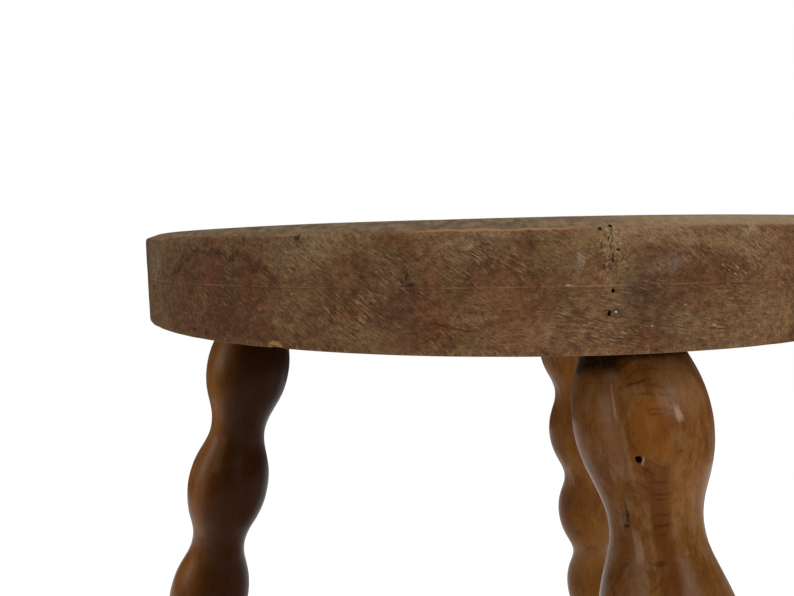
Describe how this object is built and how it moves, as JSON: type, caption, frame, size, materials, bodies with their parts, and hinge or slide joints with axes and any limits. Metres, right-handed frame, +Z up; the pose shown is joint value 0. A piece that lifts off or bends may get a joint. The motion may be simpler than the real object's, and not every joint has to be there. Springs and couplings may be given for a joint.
{
  "type": "milking stool",
  "caption": "Low stool with a thick round wooden seat on splayed, bobbin-turned legs that are staked through the seat and wedged.",
  "frame": {"origin": "centre of the seat's flat top face", "axes": "+Z up, out of the seat's top; the front leg stands towards -Y and the other two towards +Y, to the left (-X) and to the right (+X)"},
  "size_m": [0.333, 0.3142, 0.3],
  "materials": {
    "seat_wood": "dry, worn and stained, no varnish left",
    "leg_wood": "satin wax over turned wood",
    "wedge_wood": "dry end grain"
  },
  "bodies": {
    "root": {"seat": "seat_wood", "leg_front": "leg_wood", "leg_left": "leg_wood", "leg_right": "leg_wood", "wedge_front": "wedge_wood", "wedge_left": "wedge_wood", "wedge_right": "wedge_wood"}
  },
  "joints": []
}
